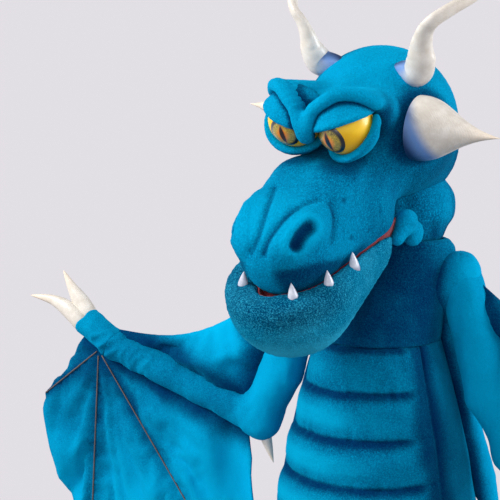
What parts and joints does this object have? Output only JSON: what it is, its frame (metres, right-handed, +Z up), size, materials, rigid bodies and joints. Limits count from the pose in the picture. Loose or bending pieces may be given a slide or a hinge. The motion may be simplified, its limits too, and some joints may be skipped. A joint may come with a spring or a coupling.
{
  "type": "dragon hand puppet",
  "caption": "Fleece dragon hand puppet: padded body sleeve with quilted belly, nodding and turning horned head, hinged toothed jaw, and two bat wings with bendable arms.",
  "frame": {"origin": "centre of the hand opening, in the plane of the hem at the bottom of the body", "axes": "+Z up along the body sleeve, -Y the way the belly faces, +X the dragon's left"},
  "size_m": [0.9102, 0.3231, 0.6731],
  "materials": {
    "foam": "matte foam",
    "blue_fleece": "brushed fleece",
    "belly_fleece": "quilted brushed fleece",
    "wing_fleece": "brushed fleece",
    "lining_cloth": "smooth woven cloth",
    "mouth_lining": "smooth satin cloth",
    "mouth_plate": "matte",
    "elastic": "woven elastic",
    "tooth_plastic": "satin",
    "ivory_plastic": "satin",
    "amber_eye": "gloss",
    "eye_glass": "polished",
    "rib_cord": "matte",
    "soft_wire": "bare"
  },
  "bodies": {
    "body": {"body_foam": "foam", "body_fleece": "blue_fleece", "belly_panel": "belly_fleece", "hem_band": "blue_fleece", "arm_lining": "lining_cloth", "lining_skirt": "lining_cloth", "chest_fleece": "blue_fleece", "right_shoulder": "blue_fleece", "left_shoulder": "blue_fleece"},
    "neck": {"neck_ring": "foam", "neck_sleeve": "blue_fleece"},
    "head": {"skull_foam": "foam", "head_fleece": "blue_fleece", "upper_mouth_plate": "mouth_plate", "palate_lining": "mouth_lining", "finger_strap": "elastic", "right_eyeball": "amber_eye", "right_iris_lens": "eye_glass", "right_upper_eyelid": "blue_fleece", "right_lower_eyelid": "blue_fleece", "right_brow_ridge": "blue_fleece", "right_crown_horn": "ivory_plastic", "right_side_horn": "ivory_plastic", "right_cheek_gusset": "blue_fleece", "left_eyeball": "amber_eye", "left_iris_lens": "eye_glass", "left_upper_eyelid": "blue_fleece", "left_lower_eyelid": "blue_fleece", "left_brow_ridge": "blue_fleece", "left_crown_horn": "ivory_plastic", "left_side_horn": "ivory_plastic", "left_cheek_gusset": "blue_fleece"},
    "jaw": {"jaw_foam": "foam", "jaw_fleece": "blue_fleece", "lower_mouth_plate": "mouth_plate", "jaw_lining": "mouth_lining", "thumb_strap": "elastic", "lower_teeth": "tooth_plastic"},
    "right_upper_wing": {"right_upper_arm": "blue_fleece", "right_elbow_sleeve": "blue_fleece", "right_elbow_spike": "ivory_plastic", "right_front_web": "wing_fleece", "right_upper_arm_wire": "soft_wire"},
    "right_outer_wing": {"right_forearm": "blue_fleece", "right_hand_cuff": "blue_fleece", "right_claws": "ivory_plastic", "right_wing_membrane": "wing_fleece", "right_wing_ribs": "rib_cord", "right_forearm_wire": "soft_wire"},
    "left_upper_wing": {"left_upper_arm": "blue_fleece", "left_elbow_sleeve": "blue_fleece", "left_elbow_spike": "ivory_plastic", "left_front_web": "wing_fleece", "left_upper_arm_wire": "soft_wire"},
    "left_outer_wing": {"left_forearm": "blue_fleece", "left_hand_cuff": "blue_fleece", "left_claws": "ivory_plastic", "left_wing_membrane": "wing_fleece", "left_wing_ribs": "rib_cord", "left_forearm_wire": "soft_wire"}
  },
  "joints": [
    {"name": "head_turn", "type": "hinge", "parent": "body", "child": "neck", "pos_m": [0.004, 0.014, 0.345], "axis": [0, 0, 1], "range_deg": [-25, 32], "deforming": ["chest_fleece"]},
    {"name": "head_nod", "type": "hinge", "parent": "neck", "child": "head", "pos_m": [0.00747, 0.00124, 0.44921], "axis": [0.9809, -0.1484, -0.1261], "range_deg": [-32, 2], "deforming": ["neck_sleeve"]},
    {"name": "jaw_open", "type": "hinge", "parent": "head", "child": "jaw", "pos_m": [-0.003, -0.044, 0.421], "axis": [0.9809, -0.1484, -0.1261], "range_deg": [0, 22], "deforming": ["right_cheek_gusset", "left_cheek_gusset"]},
    {"name": "right_shoulder_lift", "type": "hinge", "parent": "body", "child": "right_upper_wing", "pos_m": [-0.08, 0.015, 0.365], "axis": [0, 1, 0], "range_deg": [-4, 40], "deforming": ["right_front_web"]},
    {"name": "right_elbow_bend", "type": "hinge", "parent": "right_upper_wing", "child": "right_outer_wing", "pos_m": [-0.141, 0.012, 0.19], "axis": [0, 1, 0], "range_deg": [-6, 25], "deforming": ["right_elbow_sleeve"]},
    {"name": "left_shoulder_lift", "type": "hinge", "parent": "body", "child": "left_upper_wing", "pos_m": [0.08, 0.015, 0.365], "axis": [0, -1, 0], "range_deg": [-4, 40], "deforming": ["left_front_web"]},
    {"name": "left_elbow_bend", "type": "hinge", "parent": "left_upper_wing", "child": "left_outer_wing", "pos_m": [0.141, 0.012, 0.19], "axis": [0, -1, 0], "range_deg": [-6, 25], "deforming": ["left_elbow_sleeve"]}
  ]
}
